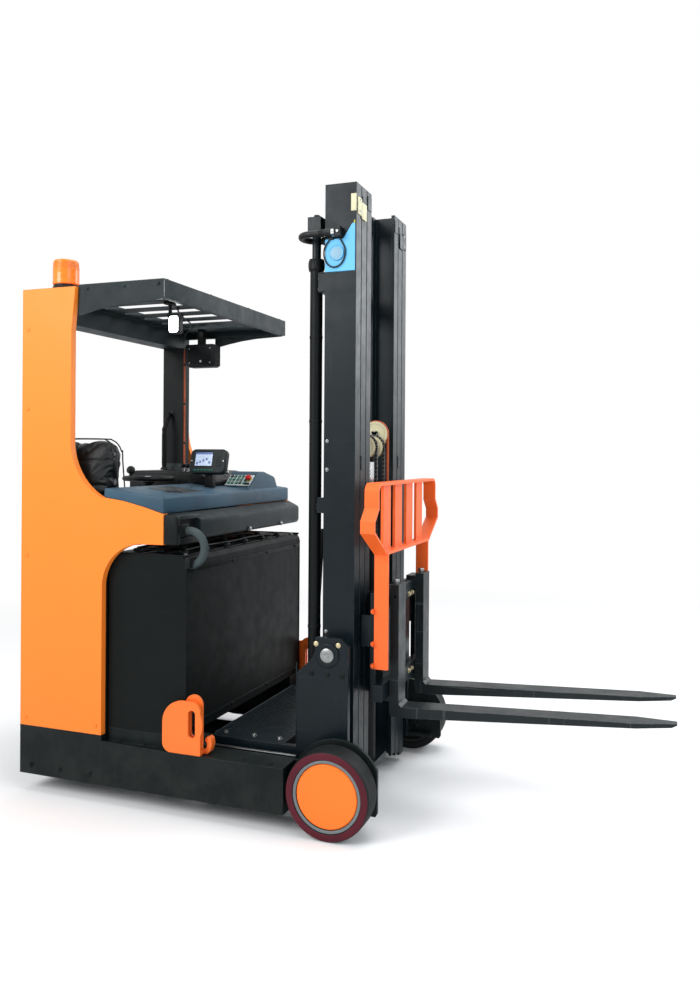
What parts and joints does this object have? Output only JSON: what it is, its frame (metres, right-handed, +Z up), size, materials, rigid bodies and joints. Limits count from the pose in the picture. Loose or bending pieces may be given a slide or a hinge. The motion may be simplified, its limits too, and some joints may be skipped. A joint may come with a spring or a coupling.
{
  "type": "reach truck",
  "caption": "Electric reach truck with a nested lift mast, overhead guard, side-facing seat, orange body panels and an orange load backrest, forks raised a little.",
  "frame": {"origin": "middle of the overall footprint, on the floor under the wheels", "axes": "+X forward towards the fork tips, +Y to the left-hand side of the truck, +Z up"},
  "size_m": [2.745, 1.253, 2.64],
  "materials": {
    "chassis_paint": "satin near-black paint",
    "orange_panel": "satin orange paint on moulded panels",
    "black_steel": "satin black paint",
    "floor_mat": "ribbed mat",
    "seat_vinyl": "black seat cover, semi-gloss",
    "guard_paint": "satin charcoal paint",
    "handle_grip": "matt grip tube",
    "beacon_lens": "ribbed amber lens",
    "lamp": "white lamp face in a black shell",
    "black_plastic": "grained plastic",
    "console_plastic": "slate blue-grey moulding",
    "bumper_plastic": "dark moulding",
    "button_plate": "pale key plate",
    "battery_steel": "satin black tray paint",
    "hook_paint": "orange-red paint",
    "cable": "grey cable sheath",
    "drive_metal": "dark casting",
    "drive_tyre": "polyurethane tread",
    "load_tyre": "black tread, burgundy band",
    "hub_paint": "orange disc in a grey ring",
    "mast_paint": "satin black paint, greased rails",
    "rod_chrome": "ground rods",
    "blue_plate": "light-blue paint",
    "hose": "black hose",
    "sheave": "cream pulleys, steel chain",
    "fork_paint": "worn black paint",
    "backrest_paint": "orange-red paint"
  },
  "bodies": {
    "chassis": {"main_frame": "chassis_paint", "support_legs": "chassis_paint", "side_panel_right": "orange_panel", "side_panel_left": "orange_panel", "rear_cover": "black_steel", "operator_floor": "floor_mat", "seat_base": "black_steel", "seat_cushion": "seat_vinyl", "seat_back": "seat_vinyl", "guard_pillars": "black_steel", "overhead_guard": "guard_paint", "grab_handle": "handle_grip", "beacon": "beacon_lens", "work_lamp": "lamp", "finned_box": "black_plastic", "console": "console_plastic", "console_bumper": "bumper_plastic", "dashboard": "black_plastic", "display": "black_plastic", "button_panel": "button_plate", "battery": "battery_steel", "battery_hooks": "hook_paint", "battery_cable": "cable", "reach_cylinder": "black_steel"},
    "steering_wheel_body": {"steering_wheel": "black_plastic"},
    "drive_unit_body": {"drive_unit": "drive_metal"},
    "drive_wheel_body": {"drive_wheel": "drive_tyre"},
    "load_wheel_right": {"load_tyre_right": "load_tyre", "load_hub_right": "hub_paint"},
    "load_wheel_left": {"load_tyre_left": "load_tyre", "load_hub_left": "hub_paint"},
    "reach_body": {"reach_carriage": "mast_paint"},
    "tilt_barrel_body": {"tilt_barrels": "black_steel"},
    "tilt_rod_body": {"tilt_rods": "rod_chrome"},
    "mast_outer_body": {"mast_outer": "mast_paint", "mast_plates": "blue_plate", "lift_cylinders": "black_steel", "mast_hose_loop": "hose"},
    "mast_middle_body": {"mast_middle": "mast_paint"},
    "mast_inner_body": {"mast_inner": "mast_paint", "free_lift_cylinder": "black_steel"},
    "free_lift_body": {"free_lift_head": "sheave"},
    "fork_body": {"fork_carriage": "mast_paint", "forks": "fork_paint", "load_backrest": "backrest_paint"}
  },
  "joints": [
    {"name": "steering_wheel_turn", "type": "hinge", "parent": "chassis", "child": "steering_wheel_body", "pos_m": [-1.1375, 0.015, 1.378], "axis": [0, 0, 1], "continuous": true},
    {"name": "drive_steer", "type": "hinge", "parent": "chassis", "child": "drive_unit_body", "pos_m": [-1.1575, -0.145, 0.42], "axis": [0, 0, 1], "range_deg": [-90, 90]},
    {"name": "drive_wheel_roll", "type": "hinge", "parent": "drive_unit_body", "child": "drive_wheel_body", "pos_m": [-1.1575, -0.145, 0.165], "axis": [0, 1, 0], "continuous": true},
    {"name": "load_wheel_right_roll", "type": "hinge", "parent": "chassis", "child": "load_wheel_right", "pos_m": [0.0975, -0.57, 0.175], "axis": [0, 1, 0], "continuous": true},
    {"name": "load_wheel_left_roll", "type": "hinge", "parent": "chassis", "child": "load_wheel_left", "pos_m": [0.0975, 0.57, 0.175], "axis": [0, 1, 0], "continuous": true},
    {"name": "mast_reach", "type": "slide", "parent": "chassis", "child": "reach_body", "axis": [1, 0, 0], "range_m": [-0.36, 0]},
    {"name": "mast_tilt", "type": "hinge", "parent": "reach_body", "child": "mast_outer_body", "pos_m": [0.0275, 0, 0.68], "axis": [0, 1, 0], "range_deg": [-2, 4]},
    {"name": "tilt_barrel_swing", "type": "hinge", "parent": "reach_body", "child": "tilt_barrel_body", "pos_m": [-0.2875, 0, 0.215], "axis": [0, 1, 0], "range_deg": [-2.6, 1.5]},
    {"name": "tilt_rod_slide", "type": "slide", "parent": "tilt_barrel_body", "child": "tilt_rod_body", "axis": [1, 0, 0], "range_m": [-0.035, 0.018]},
    {"name": "mast_middle_lift", "type": "slide", "parent": "mast_outer_body", "child": "mast_middle_body", "axis": [0, 0, 1], "range_m": [0, 1.9]},
    {"name": "mast_inner_lift", "type": "slide", "parent": "mast_middle_body", "child": "mast_inner_body", "axis": [0, 0, 1], "range_m": [0, 1.9]},
    {"name": "fork_lift", "type": "slide", "parent": "mast_inner_body", "child": "fork_body", "axis": [0, 0, 1], "range_m": [-0.38, 1.5]},
    {"name": "free_lift_rod", "type": "slide", "parent": "mast_inner_body", "child": "free_lift_body", "axis": [0, 0, 1], "range_m": [-0.19, 0.75]}
  ],
  "couplings": [
    {"joint": "tilt_barrel_swing", "follows": "mast_tilt", "ratio": -0.575},
    {"joint": "tilt_rod_slide", "follows": "mast_tilt", "m_per_rad": -0.465},
    {"joint": "mast_inner_lift", "follows": "mast_middle_lift", "ratio": 1},
    {"joint": "free_lift_rod", "follows": "fork_lift", "ratio": 0.5}
  ]
}
